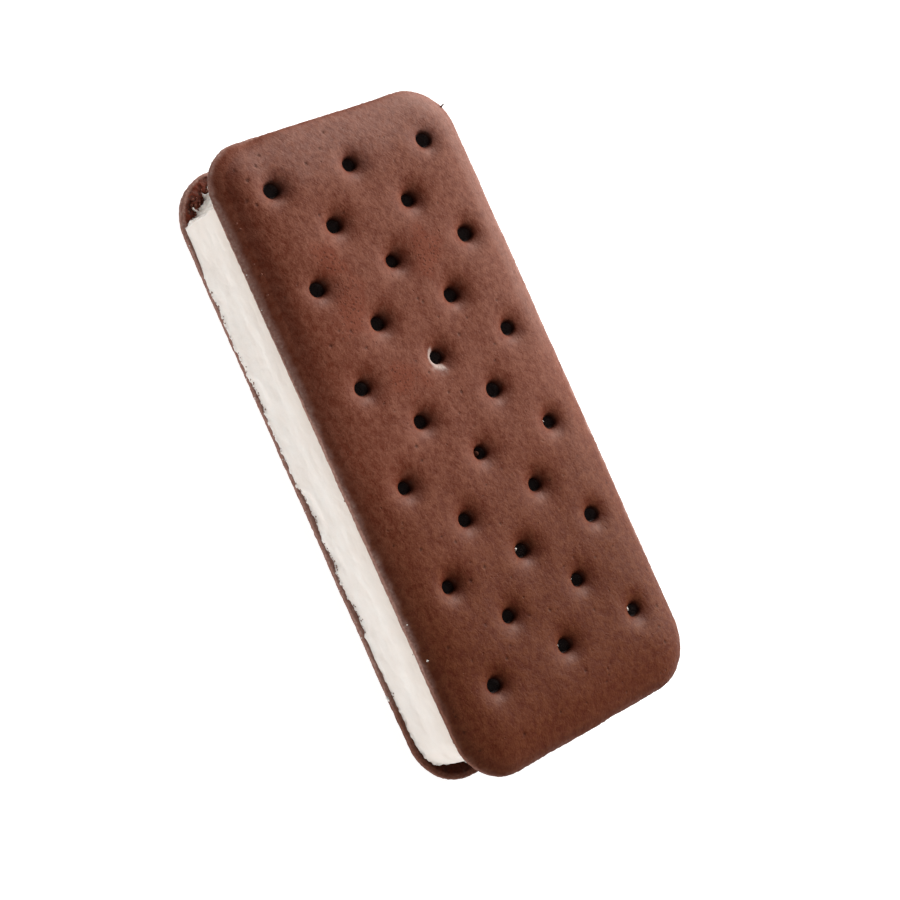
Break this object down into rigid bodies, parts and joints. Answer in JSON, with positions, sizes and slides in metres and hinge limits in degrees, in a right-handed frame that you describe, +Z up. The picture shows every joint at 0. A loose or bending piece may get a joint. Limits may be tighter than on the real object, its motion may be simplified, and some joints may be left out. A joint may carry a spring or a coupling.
{
  "type": "ice cream sandwich",
  "caption": "Rectangular ice cream sandwich lying flat: a slab of vanilla ice cream between two soft chocolate wafers with rounded corners, rounded shoulders and docking holes.",
  "frame": {"origin": "middle of the sandwich's footprint, on the surface that it lies on", "axes": "+X along the sandwich, +Y across it, +Z up through the upper wafer; the torn corner of the ice cream is at -X, -Y"},
  "size_m": [0.12, 0.0564, 0.0187],
  "materials": {
    "wafer": "matte",
    "ice_cream": "soft satin"
  },
  "bodies": {
    "root": {"top_wafer": "wafer", "ice_cream": "ice_cream", "bottom_wafer": "wafer"}
  },
  "joints": []
}
